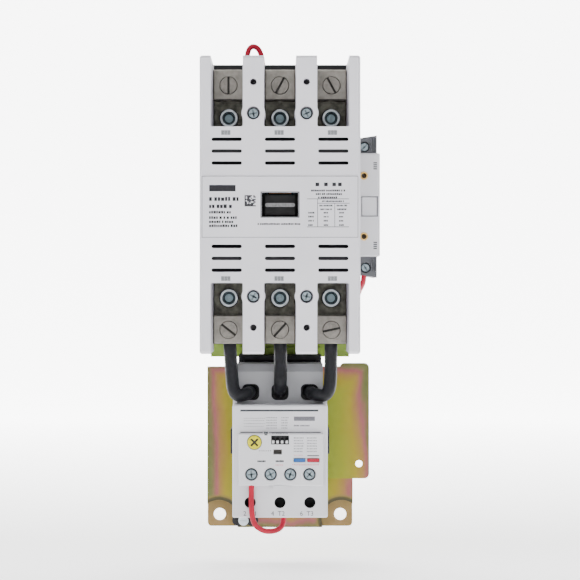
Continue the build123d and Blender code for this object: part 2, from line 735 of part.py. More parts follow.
for (low, high), button_name in ((reset_x, "reset_button"), (test_x, "test_button")):
    with BuildPart() as button:
        block((low, high), (relay_front - 6, panel_front + 0.8), button_z)
        fillet(button.faces().sort_by(Axis.Y)[0].edges(), 0.3)
    save(button, button_name)

with BuildPart() as trip_flag:
    block((flag_window_x[0] - 1, flag_window_x[0] + 7), (relay_front - 4.4, relay_front - 3.1),
          (flag_window_z[0] - 0.6, flag_window_z[1] + 0.6))
save(trip_flag, "trip_flag")


# --- Relay works: power bars through the current transformers, clamps, box lugs, circuit board ---
with BuildPart() as current_transformers:
    for x in relay_poles:
        block(centred(x, 8), (55, 76), (42, 54))
    fillet(current_transformers.edges().filter_by(Axis.Z), 2)
    for x in relay_poles:
        block(centred(x, 4.6), (63, 67), (42, 54), mode=Mode.SUBTRACT)
save(current_transformers, "current_transformers")

with BuildPart() as relay_lugs:
    for x in relay_poles:
        block(centred(x, 4), (64, 66), (12, 85))
        block(centred(x, 6.5), (66, 84), (11.5, 24))
        upright_pin(x, load_wire_depth, (11.5, 24), load_wire_radius, mode=Mode.SUBTRACT)
        round_pin(x, load_hole_z + 0.5, (load_wire_depth, 84), 3, mode=Mode.SUBTRACT)
        block(centred(x, 5), (66, 73), (75, 85))
save(relay_lugs, "relay_lugs")

with BuildPart() as relay_lug_screws:
    for x in relay_poles:
        round_pin(x, load_hole_z + 0.5, (load_wire_depth + load_wire_radius + 0.1, 86), 2.9)
        with BuildSketch(facing(84)):
            with Locations((x, load_hole_z + 0.5)):
                Rectangle(6, 0.9)
        extrude(amount=2, mode=Mode.SUBTRACT)
save(relay_lug_screws, "relay_lug_screws")

with BuildPart() as circuit_board:
    block(centred(0, 25.3), (98, 99.6), (22, 70.9))
    for x, z in ((-12, 62), (6, 62), (16, 30)):
        block(centred(x, 4), (96, 98), centred(z, 3))
save(circuit_board, "circuit_board")


# --- Cables: three power cables from the load lugs to the relay, and three control wires ---
def bend_radii(points):
    """The largest bend that each corner of a route leaves room for."""
    corners = [Vector(*point) for point in points]
    radii = []
    for before, corner, after in zip(corners, corners[1:], corners[2:]):
        turn = (corner - before).get_angle(after - corner)
        shorter_run = min((corner - before).length, (after - corner).length)
        radii.append(0.45 * shorter_run / tan(radians(turn) / 2))
    return radii


def save_cord(points, diameter, name):
    radii = bend_radii(points)
    with BuildPart() as cord:
        with BuildLine():
            route = FilletPolyline(*points, radius=radii)
        with BuildSketch(Plane(origin=route @ 0, z_dir=route % 0)):
            Circle(diameter / 2)
        sweep(path=route)
    straight_volume = cord.part.volume / (3.141593 * diameter**2 / 4)
    print(name, "length", round(route.length, 1), "from volume", round(straight_volume, 1))
    print("  bend radii", [round(radius, 1) for radius in radii])
    save(cord, name)


load_lug_bottom = centre_z - lug_outer + 1
cable_runs = {
    "power_cable_left": [
        (-29.6, -94.5, load_lug_bottom + 5), (-28.4, -95.5, 95), (-27, -97.5, 77),
        (-17.2, -99, 79.7), (-17.2, -73, 79.7)],
    "power_cable_middle": [
        (0, -94.5, load_lug_bottom + 5), (0.5, -95.2, 97), (0, -97.5, 79.7), (0, -73, 79.7)],
    "power_cable_right": [
        (29.6, -94.5, load_lug_bottom + 5), (29.8, -95.5, 95), (28.6, -97.5, 77),
        (17.2, -99, 79.7), (17.2, -73, 79.7)],
}
for cable_name, points in cable_runs.items():
    save_cord(points, cable_diameter, cable_name)

wire_runs = {
    "coil_wire": [
        (-10, -coil_wire_depth, terminal_top_z - 3), (-10, -50.2, 276), (-12.6, -52, 285.4),
        (-18.6, -52.4, 286.2), (-20.5, -50.8, 276), (-20.5, -coil_wire_depth, terminal_top_z - 3)],
    "aux_wire": [
        (48.6, -105, 150.5), (48.5, -104.8, 144.6), (47.2, -94, 141), (46.9, -84, 140),
        (46, -70, 136), (46, -50, 132), (42, -50, 132)],
    "relay_wire": [
        (-16.4, -control_wire_depth, 29.8), (-16.7, -112.4, 18), (-15.8, -113, 5.6), (-10.4, -109, 0.6),
        (-3.8, -104, -0.4), (1.2, -99, 1.6), (2.2, -loop_wire_entry[1], 6.6),
        (2.2, -loop_wire_entry[1], 13)],
}
for wire_name, points in wire_runs.items():
    save_cord(points, wire_diameter, wire_name)
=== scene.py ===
import json
import math
import random
import bpy
import bmesh
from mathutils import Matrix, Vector

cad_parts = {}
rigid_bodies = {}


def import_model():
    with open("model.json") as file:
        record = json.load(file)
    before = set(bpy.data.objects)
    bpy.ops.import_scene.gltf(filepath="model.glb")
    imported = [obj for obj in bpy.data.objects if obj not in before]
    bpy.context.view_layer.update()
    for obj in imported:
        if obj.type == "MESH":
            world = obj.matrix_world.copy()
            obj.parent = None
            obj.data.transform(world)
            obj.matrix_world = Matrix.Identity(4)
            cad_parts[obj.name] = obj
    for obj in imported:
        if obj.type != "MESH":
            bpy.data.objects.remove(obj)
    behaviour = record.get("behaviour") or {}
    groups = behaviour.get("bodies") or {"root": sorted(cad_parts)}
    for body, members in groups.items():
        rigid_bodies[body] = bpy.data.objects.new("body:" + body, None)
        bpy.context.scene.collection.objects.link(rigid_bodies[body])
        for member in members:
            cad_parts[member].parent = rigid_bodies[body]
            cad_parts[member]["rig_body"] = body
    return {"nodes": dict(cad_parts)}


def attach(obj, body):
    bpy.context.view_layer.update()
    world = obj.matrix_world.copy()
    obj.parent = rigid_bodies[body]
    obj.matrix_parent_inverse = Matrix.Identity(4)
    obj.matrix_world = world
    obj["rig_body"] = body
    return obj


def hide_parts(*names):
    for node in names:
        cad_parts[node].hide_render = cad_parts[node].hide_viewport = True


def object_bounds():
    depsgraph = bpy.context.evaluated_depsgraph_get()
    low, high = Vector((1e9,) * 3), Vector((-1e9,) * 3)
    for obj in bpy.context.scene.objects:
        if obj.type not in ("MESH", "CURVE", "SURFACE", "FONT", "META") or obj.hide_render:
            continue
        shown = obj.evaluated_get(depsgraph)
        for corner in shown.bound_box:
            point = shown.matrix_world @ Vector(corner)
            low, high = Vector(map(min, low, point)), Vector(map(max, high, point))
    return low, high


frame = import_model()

cad_low, cad_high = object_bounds()
scene = bpy.context.scene
mm = 0.001

# Camera: straight on to the starter's face through a long lens, level with the middle of its
# height, so that the deep terminal pockets are seen from their middle.
eye_distance = 1440
eye_height = 139.5
shift_right = 10 / 580
camera_data = bpy.data.cameras.new("camera")
camera_data.lens = 143.3
camera_data.sensor_width = 36
camera_data.shift_x = shift_right
camera_data.clip_start = 0.05
camera = bpy.data.objects.new("camera", camera_data)
camera.location = (0, -eye_distance * mm, eye_height * mm)
camera.rotation_euler = (math.radians(90), 0, 0)
scene.collection.objects.link(camera)
scene.camera = camera


# Cables and wires: rubber-covered power cables bent by hand from the load lugs into the relay,
# and thin plastic-covered control wires. Each is listed with a length and a route; the curve follows
# the route, and the length is not used.
def build_node(tree, kind, inputs=None, **settings):
    """Adds a node, sets its properties, and links or sets its inputs."""
    made = tree.nodes.new(kind)
    for key, value in settings.items():
        setattr(made, key, value)
    for key, value in (inputs or {}).items():
        if isinstance(value, bpy.types.NodeSocket):
            tree.links.new(value, made.inputs[key])
        else:
            made.inputs[key].default_value = value
    return made


def start_material(name, roughness, metallic=0.0):
    """A new material with its shader and the piece's own coordinates."""
    material = bpy.data.materials.new(name)
    material.use_nodes = True
    tree = material.node_tree
    shader = tree.nodes["Principled BSDF"]
    shader.inputs["Roughness"].default_value = roughness
    shader.inputs["Metallic"].default_value = metallic
    shader.inputs["Specular IOR Level"].default_value = 0.5 if metallic else 0.28
    place = build_node(tree, "ShaderNodeTexCoord").outputs["Object"]
    return material, tree, shader, place


def noise(tree, place, scale, detail=2.0, roughness=0.5):
    """The factor of a plain noise pattern."""
    return build_node(tree, "ShaderNodeTexNoise", {
        "Vector": place, "Scale": scale, "Detail": detail, "Roughness": roughness}).outputs["Fac"]


def shades(tree, factor, *stops):
    """A colour ramp through (position, colour) stops."""
    ramp = build_node(tree, "ShaderNodeValToRGB", {"Fac": factor})
    elements = ramp.color_ramp.elements
    while len(elements) < len(stops):
        elements.new(0.5)
    for element, (position, colour) in zip(elements, stops):
        element.position = position
        element.color = (*colour, 1)
    return ramp.outputs["Color"]


def spread(tree, factor, low, high):
    """A noise factor's middle range laid over low to high."""
    return build_node(tree, "ShaderNodeMapRange", {
        "Value": factor, "From Min": 0.3, "From Max": 0.7,
        "To Min": low, "To Max": high}).outputs["Result"]


def roughen(tree, shader, height, strength, distance):
    """Fine relief under the finish."""
    bump = build_node(tree, "ShaderNodeBump", {
        "Height": height, "Strength": strength, "Distance": distance})
    tree.links.new(bump.outputs["Normal"], shader.inputs["Normal"])


def tinted(colour, factor):
    """A colour made lighter or darker by a factor."""
    return tuple(min(1.0, channel * factor) for channel in colour)


def insulation(name, colour, roughness, drift):
    """Extruded insulation: a faint lengthwise waviness and scuffed patches."""
    material, tree, shader, place = start_material(name, roughness)
    tone = shades(tree, noise(tree, place, 140, 3), (0.3, tinted(colour, 1 - drift)),
                  (0.7, tinted(colour, 1 + drift)))
    tree.links.new(tone, shader.inputs["Base Color"])
    tree.links.new(spread(tree, noise(tree, place, 420), roughness - 0.08, roughness + 0.1),
                   shader.inputs["Roughness"])
    roughen(tree, shader, noise(tree, place, 900, 3), 0.12, 0.0004)
    return material


cable_rubber = insulation("cable_rubber", (0.006, 0.0065, 0.009), 0.5, 0.3)
wire_red = insulation("wire_red", (0.40, 0.003, 0.026), 0.45, 0.18)


def cord_piece(name, points, diameter, material):
    """A smooth curve with the route's points as its control points."""
    curve = bpy.data.curves.new(name, "CURVE")
    curve.dimensions = "3D"
    curve.bevel_depth = diameter * mm / 2
    curve.bevel_resolution = 8
    curve.resolution_u = 24
    curve.use_fill_caps = True
    spline = curve.splines.new("NURBS")
    spline.points.add(len(points) - 1)
    for control, point in zip(spline.points, points):
        control.co = (*(Vector(point) * mm), 1)
    spline.order_u = 3
    spline.use_endpoint_u = True
    curve.materials.append(material)
    piece = bpy.data.objects.new(name + "_curve", curve)
    scene.collection.objects.link(piece)
    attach(piece, "frame")
    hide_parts(name)
    return piece


cable_diameter = 7.5
power_cables = {
    "power_cable_left": (68, [
        (-29.6, -94.5, 113.4), (-28.4, -95.5, 95), (-27, -97.5, 77), (-17.2, -99, 79.7),
        (-17.2, -73, 79.7)]),
    "power_cable_middle": (54.4, [
        (0, -94.5, 113.4), (0.5, -95.2, 97), (0, -97.5, 79.7), (0, -73, 79.7)]),
    "power_cable_right": (68.9, [
        (29.6, -94.5, 113.4), (29.8, -95.5, 95), (28.6, -97.5, 77), (17.2, -99, 79.7),
        (17.2, -73, 79.7)]),
}
for name, (length, points) in power_cables.items():
    cable = cord_piece(name, points, cable_diameter, cable_rubber)

wire_diameter = 3.1
control_wires = {
    "coil_wire": (48.3, [
        (-10, -50, 264.2), (-10, -50.2, 276), (-12.6, -52, 285.4),
        (-18.6, -52.4, 286.2), (-20.5, -50.8, 276), (-20.5, -50, 264.2)]),
    "aux_wire": (64.9, [
        (48.6, -105, 150.5), (48.5, -104.8, 144.6), (47.2, -94, 141), (46.9, -84, 140),
        (46, -70, 136), (46, -50, 132), (42, -50, 132)]),
    "relay_wire": (59.4, [
        (-16.4, -112, 29.8), (-16.7, -112.4, 18), (-15.8, -113, 5.6), (-10.4, -109, 0.6),
        (-3.8, -104, -0.4), (1.2, -99, 1.6), (2.2, -96, 6.6), (2.2, -96, 13)]),
}
for name, (length, points) in control_wires.items():
    wire = cord_piece(name, points, wire_diameter, wire_red)


# Mounting plate: a zinc-plated steel pressing with an iridescent yellow chromate film, drawn up
# under the relay and flat behind the contactor. Its sheared edges are broken slightly.
same_point = 0.004
flat_enough = math.radians(1.5)
rounded_above = math.radians(34)
sharp_above = math.radians(32)


def covered(mesh, material):
    """Gives every face of a mesh one material."""
    mesh.materials.clear()
    mesh.materials.append(material)
    for polygon in mesh.polygons:
        polygon.material_index = 0


def softened(node, piece_name, radius, material):
    """A copy of a carried-over piece with its edges rounded as moulding or tumbling leaves them."""
    source = frame["nodes"][node]
    mesh = source.data.copy()
    shape = bmesh.new()
    shape.from_mesh(mesh)
    bmesh.ops.remove_doubles(shape, verts=shape.verts, dist=same_point * mm)
    bmesh.ops.dissolve_limit(shape, angle_limit=flat_enough, verts=shape.verts, edges=shape.edges)
    shape.to_mesh(mesh)
    shape.free()
    covered(mesh, material)
    piece = bpy.data.objects.new(piece_name, mesh)
    scene.collection.objects.link(piece)
    bevel = piece.modifiers.new("soft_edges", "BEVEL")
    bevel.width = radius * mm
    bevel.segments = 2
    bevel.limit_method = "ANGLE"
    bevel.angle_limit = rounded_above
    bevel.use_clamp_overlap = True
    bevel.miter_outer = "MITER_SHARP"
    return finish_mesh(piece, source["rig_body"], node)


def settle(piece):
    """Turns a piece's live modifiers into a plain mesh."""
    bpy.context.view_layer.update()
    graph = bpy.context.evaluated_depsgraph_get()
    plain = bpy.data.meshes.new_from_object(piece.evaluated_get(graph))
    piece.modifiers.clear()
    piece.data = plain
    return plain


def finish_mesh(piece, body, node):
    """Settles and smooths a piece, then puts it on its body in place of its node."""
    plain = settle(piece)
    plain.shade_smooth()
    plain.set_sharp_from_angle(angle=sharp_above)
    weight = piece.modifiers.new("weight", "WEIGHTED_NORMAL")
    weight.keep_sharp = True
    weight.weight = 90
    settle(piece)
    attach(piece, body)
    if node:
        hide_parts(node)
    return piece


def calculate(tree, operation, first, second=0.0):
    """The result of one Math node on sockets or plain numbers."""
    made = tree.nodes.new("ShaderNodeMath")
    made.operation = operation
    for socket, value in zip(made.inputs, (first, second)):
        if isinstance(value, bpy.types.NodeSocket):
            tree.links.new(value, socket)
        else:
            socket.default_value = value
    return made.outputs[0]


plate_half = 45
tab_bottom, tab_reach = 22.8, 10.2
below_origin, relay_part_top, contactor_part_low = 7.4, 93.5, 96
ear_x, ear_drop = 38, 3


def chromate_film():
    """Yellow chromate over zinc: olive edges, a rose band inside them, then gold and green."""
    material, tree, shader, place = start_material("chromate_film", 0.4, 0.3)
    parts = build_node(tree, "ShaderNodeSeparateXYZ", {"Vector": place})
    across, up = parts.outputs["X"], parts.outputs["Z"]
    left = calculate(tree, "ADD", across, plate_half * mm)
    tab_part = calculate(tree, "GREATER_THAN", up, tab_bottom * mm)
    right_edge = calculate(tree, "MULTIPLY_ADD", tab_part, tab_reach * mm)
    right_edge.node.inputs[2].default_value = plate_half * mm
    right = calculate(tree, "SUBTRACT", right_edge, across)
    bottom = calculate(tree, "ADD", up, below_origin * mm)
    top = calculate(tree, "SUBTRACT", relay_part_top * mm, up)
    inside = calculate(tree, "MINIMUM", calculate(tree, "MINIMUM", left, right),
                       calculate(tree, "MINIMUM", bottom, top))
    upper = calculate(tree, "GREATER_THAN", up, contactor_part_low * mm)
    inside = calculate(tree, "ADD", inside, calculate(tree, "MULTIPLY", upper, 0.12))
    stretched = build_node(tree, "ShaderNodeMapping", {"Vector": place, "Scale": (1.0, 1.0, 0.5)})
    streaks = build_node(tree, "ShaderNodeTexNoise", {
        "Vector": stretched.outputs["Vector"], "Scale": 30.0, "Detail": 4.0, "Roughness": 0.5,
        "Distortion": 0.6}).outputs["Fac"]
    drifted = calculate(tree, "ADD", inside, calculate(tree, "MULTIPLY", calculate(
        tree, "SUBTRACT", streaks, 0.5), 16 * mm))
    painted_rings = calculate(tree, "DIVIDE", drifted, 40 * mm)
    recess_shade = shades(tree, painted_rings, (0.0, (0.11, 0.12, 0.025)), (0.05, (0.16, 0.12, 0.04)),
                  (0.11, (0.30, 0.085, 0.085)), (0.18, (0.31, 0.17, 0.035)),
                  (0.28, (0.31, 0.24, 0.006)), (0.48, (0.26, 0.275, 0.005)),
                  (0.75, (0.24, 0.30, 0.015)), (0.95, (0.20, 0.30, 0.04)))
    side = calculate(tree, "SUBTRACT", calculate(tree, "ABSOLUTE", across), ear_x * mm)
    rise = calculate(tree, "ADD", up, ear_drop * mm)
    from_ear = calculate(tree, "SQRT", calculate(
        tree, "ADD", calculate(tree, "MULTIPLY", side, side),
        calculate(tree, "MULTIPLY", rise, rise)))
    # Round each ear the near-black band in this ramp is painted shadow along the drawn wall; the
    # other stops are the film's own tone.
    ear_film_and_painted_shadow = shades(tree, calculate(tree, "DIVIDE", from_ear, 20 * mm),
                      (0.0, (0.27, 0.165, 0.055)), (0.58, (0.22, 0.145, 0.04)),
                      (0.63, (0.045, 0.037, 0.010)), (0.70, (0.06, 0.05, 0.012)),
                      (0.75, (0.19, 0.14, 0.03)))
    near_ear = build_node(tree, "ShaderNodeMapRange", {
        "Value": from_ear, "From Min": 14.6 * mm, "From Max": 16.5 * mm,
        "To Min": 1.0, "To Max": 0.0})
    joined = build_node(tree, "ShaderNodeMix", data_type="RGBA")
    tree.links.new(near_ear.outputs["Result"], joined.inputs[0])
    tree.links.new(recess_shade, joined.inputs[6])
    tree.links.new(ear_film_and_painted_shadow, joined.inputs[7])
    tree.links.new(joined.outputs[2], shader.inputs["Base Color"])
    tree.links.new(spread(tree, noise(tree, place, 300, 4), 0.30, 0.48), shader.inputs["Roughness"])
    roughen(tree, shader, noise(tree, place, 700, 4), 0.10, 0.0004)
    return material


softened("mounting_plate", "pressed_plate", 0.3, chromate_film())


# Front cover and the other pale mouldings: satin grey-white thermoplastic with a spark-eroded
# grain, cooled unevenly enough to show a slow drift of tone.
def moulded(name, colour, roughness, relief=0.10, drift=0.035):
    """Moulded thermoplastic: a fine grain and a slow drift of tone."""
    material, tree, shader, place = start_material(name, roughness)
    tone = shades(tree, noise(tree, place, 22, 3), (0.3, tinted(colour, 1 - drift)),
                  (0.7, tinted(colour, 1 + drift)))
    tree.links.new(tone, shader.inputs["Base Color"])
    tree.links.new(spread(tree, noise(tree, place, 180, 3), roughness - 0.06, roughness + 0.07),
                   shader.inputs["Roughness"])
    roughen(tree, shader, noise(tree, place, 1400, 3), relief, 0.0002)
    return material


cover_plastic = moulded("cover_plastic", (0.68, 0.672, 0.715), 0.44)
relay_plastic = moulded("relay_plastic", (0.66, 0.658, 0.685), 0.42)
black_moulding = moulded("black_moulding", (0.014, 0.014, 0.016), 0.48, relief=0.2, drift=0.2)
grey_moulding = moulded("grey_moulding", (0.115, 0.12, 0.13), 0.5, relief=0.18, drift=0.08)
shroud_grey = moulded("shroud_grey", (0.34, 0.345, 0.36), 0.5, relief=0.14, drift=0.06)

softened("front_cover", "contactor_cover", 0.35, cover_plastic)
softened("nameplate", "nameplate_panel", 0.12, cover_plastic)
softened("contact_block", "contact_deck", 0.4, black_moulding)
softened("magnet_housing", "magnet_case", 0.6, black_moulding)
softened("coil_terminals", "coil_terminal_blocks", 0.25, black_moulding)
softened("aux_body", "aux_case", 0.3, relay_plastic)
softened("aux_shrouds", "aux_terminal_ends", 0.15, grey_moulding)
softened("relay_housing", "relay_case", 0.35, relay_plastic)
softened("relay_panel", "relay_fascia", 0.15, relay_plastic)
softened("relay_shroud", "cable_shroud", 0.3, shroud_grey)
softened("relay_base", "relay_back", 0.35, black_moulding)


# Lugs and straps: tin-plated aluminium lugs sawn from bar, on stamped copper straps under a thin
# plating, coloured a darker, duller grey than the lugs.
def plated_metal(name, colour, roughness, grain, spots):
    """Matt plated metal: fine tumbling marks, small dark spots and cloudy patches."""
    material, tree, shader, place = start_material(name, roughness, 0.85)
    cloud = shades(tree, noise(tree, place, 160, 5, 0.62), (0.32, tinted(colour, 1 - spots)),
                   (0.52, colour), (0.72, tinted(colour, 1 + 0.6 * spots)))
    tree.links.new(cloud, shader.inputs["Base Color"])
    tree.links.new(spread(tree, noise(tree, place, 600, 4), roughness - 0.1, roughness + 0.14),
                   shader.inputs["Roughness"])
    roughen(tree, shader, noise(tree, place, grain, 5, 0.65), 0.3, 0.0003)
    return material


lug_tin = plated_metal("lug_tin", (0.27, 0.255, 0.225), 0.46, 1500, 0.2)
strap_plating = plated_metal("strap_plating", (0.165, 0.163, 0.135), 0.5, 900, 0.5)
bare_copper = plated_metal("bare_copper", (0.70, 0.33, 0.19), 0.36, 1400, 0.18)
laminated_steel = plated_metal("laminated_steel", (0.34, 0.34, 0.345), 0.42, 1200, 0.22)
zinc_plate = plated_metal("zinc_plate", (0.56, 0.62, 0.66), 0.3, 1600, 0.14)
silver_alloy = plated_metal("silver_alloy", (0.66, 0.65, 0.62), 0.38, 1300, 0.12)
brass_rim = plated_metal("brass_rim", (0.68, 0.44, 0.14), 0.3, 1500, 0.2)

for name in ("line_lugs", "load_lugs"):
    softened(name, name + "_blocks", 0.25, lug_tin)
for name in ("line_straps", "load_straps"):
    softened(name, name + "_stampings", 0.2, strap_plating)
softened("aux_eyelets", "aux_eyelet_rims", 0.12, brass_rim)


# Screws: turned from bar and zinc plated. The lug screws are slotted, the strap bolts have
# hexagon sockets, and the cover, terminal and control screws take a slotted or crossed driver.
def start_tree(name, *inputs):
    """A geometry tree with its named inputs, each (label, kind, value)."""
    tree = bpy.data.node_groups.new(name, "GeometryNodeTree")
    tree.interface.new_socket("Geometry", in_out="INPUT", socket_type="NodeSocketGeometry")
    for label, kind, value in inputs:
        made = tree.interface.new_socket(label, in_out="INPUT", socket_type="NodeSocket" + kind)
        if value is not None:
            made.default_value = value
    tree.interface.new_socket("Geometry", in_out="OUTPUT", socket_type="NodeSocketGeometry")
    return tree, tree.nodes.new("NodeGroupInput").outputs


def end_tree(tree, geometry, material):
    """Makes a tree's instances real and gives them their material."""
    real = build_node(tree, "GeometryNodeRealizeInstances", {"Geometry": geometry})
    finished = build_node(tree, "GeometryNodeSetMaterial", {
        "Geometry": real.outputs["Geometry"], "Material": material})
    build_node(tree, "NodeGroupOutput", {"Geometry": finished.outputs["Geometry"]})


def vector(tree, x, y, z):
    """A vector from three sockets or plain numbers."""
    return build_node(tree, "ShaderNodeCombineXYZ", {"X": x, "Y": y, "Z": z}).outputs["Vector"]


def shifted(tree, geometry, offset, turn=(0, 0, 0)):
    """Geometry moved, and turned if need be."""
    return build_node(tree, "GeometryNodeTransform", {
        "Geometry": geometry, "Translation": offset, "Rotation": turn}).outputs["Geometry"]


def screw_tree(name, drive):
    """A screw head on a shank, standing on every point and facing the front."""
    tree, given = start_tree(
        name, ("Head Radius", "Float", 3.0), ("Head Height", "Float", 2.0), ("Edge", "Float", 0.3),
        ("Drive Width", "Float", 1.0), ("Drive Depth", "Float", 1.0), ("Shank Radius", "Float", 1.5),
        ("Shank Length", "Float", 5.0), ("Material", "Material", None))
    height = given["Head Height"]
    disc = build_node(tree, "GeometryNodeMeshCircle", {
        "Vertices": 56, "Radius": given["Head Radius"]}, fill_type="NGON").outputs["Mesh"]
    wall = build_node(tree, "GeometryNodeExtrudeMesh", {
        "Mesh": disc, "Offset": vector(tree, 0, 0, 1), "Individual": False,
        "Offset Scale": calculate(tree, "SUBTRACT", height, given["Edge"])})
    crown = build_node(tree, "GeometryNodeExtrudeMesh", {
        "Mesh": wall.outputs["Mesh"], "Selection": wall.outputs["Top"], "Individual": False,
        "Offset": vector(tree, 0, 0, 1), "Offset Scale": given["Edge"]})
    narrowed = calculate(tree, "SUBTRACT", 1.0, calculate(tree, "DIVIDE", given["Edge"],
                                                          given["Head Radius"]))
    crowned = build_node(tree, "GeometryNodeScaleElements", {
        "Geometry": crown.outputs["Mesh"], "Selection": crown.outputs["Top"], "Scale": narrowed})
    under = build_node(tree, "GeometryNodeFlipFaces", {"Mesh": disc}).outputs["Mesh"]
    blank = tree.nodes.new("GeometryNodeJoinGeometry")
    tree.links.new(crowned.outputs["Geometry"], blank.inputs["Geometry"])
    tree.links.new(under, blank.inputs["Geometry"])
    closed = build_node(tree, "GeometryNodeMergeByDistance", {
        "Geometry": blank.outputs["Geometry"], "Distance": 0.002 * mm}).outputs["Geometry"]
    cut = tree.nodes.new("GeometryNodeMeshBoolean")
    cut.operation = "DIFFERENCE"
    tree.links.new(closed, cut.inputs["Mesh 1"])
    depth = calculate(tree, "MULTIPLY", given["Drive Depth"], 2.0)
    length = calculate(tree, "MULTIPLY", given["Head Radius"], 4.0 if drive == "slot" else 1.3)
    for turn in ((0, 90) if drive == "cross" else (0,)):
        if drive == "socket":
            cutter = build_node(tree, "GeometryNodeMeshCylinder", {
                "Vertices": 6, "Radius": given["Drive Width"], "Depth": depth}).outputs["Mesh"]
        else:
            cutter = build_node(tree, "GeometryNodeMeshCube", {
                "Size": vector(tree, length, given["Drive Width"], depth)}).outputs["Mesh"]
        placed = shifted(tree, cutter, vector(tree, 0, 0, height), (0, 0, math.radians(turn)))
        tree.links.new(placed, cut.inputs["Mesh 2"])
    shank = build_node(tree, "GeometryNodeMeshCylinder", {
        "Vertices": 28, "Radius": given["Shank Radius"],
        "Depth": given["Shank Length"]}).outputs["Mesh"]
    half_down = calculate(tree, "MULTIPLY", given["Shank Length"], -0.5)
    whole = tree.nodes.new("GeometryNodeJoinGeometry")
    tree.links.new(cut.outputs["Mesh"], whole.inputs["Geometry"])
    tree.links.new(shifted(tree, shank, vector(tree, 0, 0, half_down)), whole.inputs["Geometry"])
    marked = build_node(tree, "GeometryNodeStoreNamedAttribute", {
        "Geometry": whole.outputs["Geometry"], "Name": "turned",
        "Value": tree.nodes.new("GeometryNodeInputPosition").outputs["Position"]},
        data_type="FLOAT_VECTOR", domain="POINT")
    local_up = build_node(tree, "ShaderNodeSeparateXYZ", {
        "Vector": tree.nodes.new("GeometryNodeInputPosition").outputs["Position"]}).outputs["Z"]
    marked = build_node(tree, "GeometryNodeStoreNamedAttribute", {
        "Geometry": marked.outputs["Geometry"], "Name": "sunk",
        "Value": calculate(tree, "SUBTRACT", height, local_up)}, data_type="FLOAT", domain="POINT")
    slot_turn = build_node(tree, "GeometryNodeInputNamedAttribute", {"Name": "turn"},
                           data_type="FLOAT").outputs["Attribute"]
    back_turn = calculate(tree, "MULTIPLY", slot_turn, -1.0)
    set_out = build_node(tree, "GeometryNodeInstanceOnPoints", {
        "Points": given["Geometry"], "Instance": marked.outputs["Geometry"],
        "Rotation": vector(tree, math.radians(90), back_turn, 0)})
    end_tree(tree, set_out.outputs["Instances"], given["Material"])
    return tree


def grow(name, tree, spots, values, node, attributes, bevel=0.0):
    """Points with their attributes, grown by a tree into one plain mesh on the frame."""
    mesh = bpy.data.meshes.new(name)
    mesh.from_pydata([Vector(spot) * mm for spot in spots], [], [])
    for label, numbers in attributes.items():
        layer = mesh.attributes.new(label, "FLOAT", "POINT")
        layer.data.foreach_set("value", numbers)
    piece = bpy.data.objects.new(name, mesh)
    scene.collection.objects.link(piece)
    growth = piece.modifiers.new("growth", "NODES")
    growth.node_group = tree
    for label, value in values.items():
        growth[tree.interface.items_tree[label].identifier] = value
    if bevel:
        rounding = piece.modifiers.new("rounding", "BEVEL")
        rounding.width = bevel * mm
        rounding.segments = 2
        rounding.limit_method = "ANGLE"
        rounding.angle_limit = math.radians(40)
    return finish_mesh(piece, "frame", node)


def screws(node, tree, spots, turns, sizes, metal, bevel):
    """One group of like screws, each with its own turn. Sizes follow screw_labels."""
    values = {label: size * mm for label, size in zip(screw_labels, sizes)}
    values["Material"] = metal
    grow(node + "_turned", tree, spots, values, node, {"turn": turns}, bevel)


def turned_metal(name, roughness, colour=None, painted_rings=None):
    """Plated steel with faint lathe rings, darkened below the head's top as painted shade in the
    drive and round the head.
    It has one cloudy colour, or painted rings of light and shade from a head's middle to its rim."""
    material, tree, shader, place = start_material(name, roughness, 0.8)
    local = build_node(tree, "ShaderNodeAttribute", attribute_name="turned").outputs["Vector"]
    parts = build_node(tree, "ShaderNodeSeparateXYZ", {"Vector": local})
    flat = build_node(tree, "ShaderNodeCombineXYZ", {
        "X": parts.outputs["X"], "Y": parts.outputs["Y"]})
    radius = build_node(tree, "ShaderNodeVectorMath", {0: flat.outputs["Vector"]},
                        operation="LENGTH").outputs["Value"]
    cloud = noise(tree, place, 380, 5, 0.6)
    if painted_rings:
        wander = calculate(tree, "MULTIPLY", calculate(tree, "SUBTRACT", cloud, 0.5), 0.5 * mm)
        out = calculate(tree, "DIVIDE", calculate(tree, "ADD", radius, wander), 6 * mm)
        tone = shades(tree, out, *painted_rings)
    else:
        tone = shades(tree, cloud, (0.3, tinted(colour, 0.74)), (0.55, colour),
                      (0.75, tinted(colour, 1.12)))
    # Painted shade: the colour is darkened with depth below the head's top, to 0.55 of itself with
    # painted rings and to 0.12 without, so slots, sockets and head sides read dark.
    sunk = build_node(tree, "ShaderNodeAttribute", attribute_name="sunk").outputs["Fac"]
    recess_shade = build_node(tree, "ShaderNodeMapRange", {
        "Value": sunk, "From Min": 0.25 * mm, "From Max": 0.8 * mm, "To Min": 1.0,
        "To Max": 0.55 if painted_rings else 0.12}).outputs["Result"]
    darkened = build_node(tree, "ShaderNodeVectorMath", {0: tone}, operation="SCALE")
    tree.links.new(recess_shade, darkened.inputs["Scale"])
    tree.links.new(darkened.outputs["Vector"], shader.inputs["Base Color"])
    tree.links.new(spread(tree, noise(tree, place, 900, 3), roughness - 0.08, roughness + 0.12),
                   shader.inputs["Roughness"])
    wave = calculate(tree, "SINE", calculate(tree, "MULTIPLY", radius, lathe_rings))
    rings = calculate(tree, "MULTIPLY", wave, noise(tree, place, 500, 3))
    roughen(tree, shader, rings, 0.1, 0.00005)
    return material


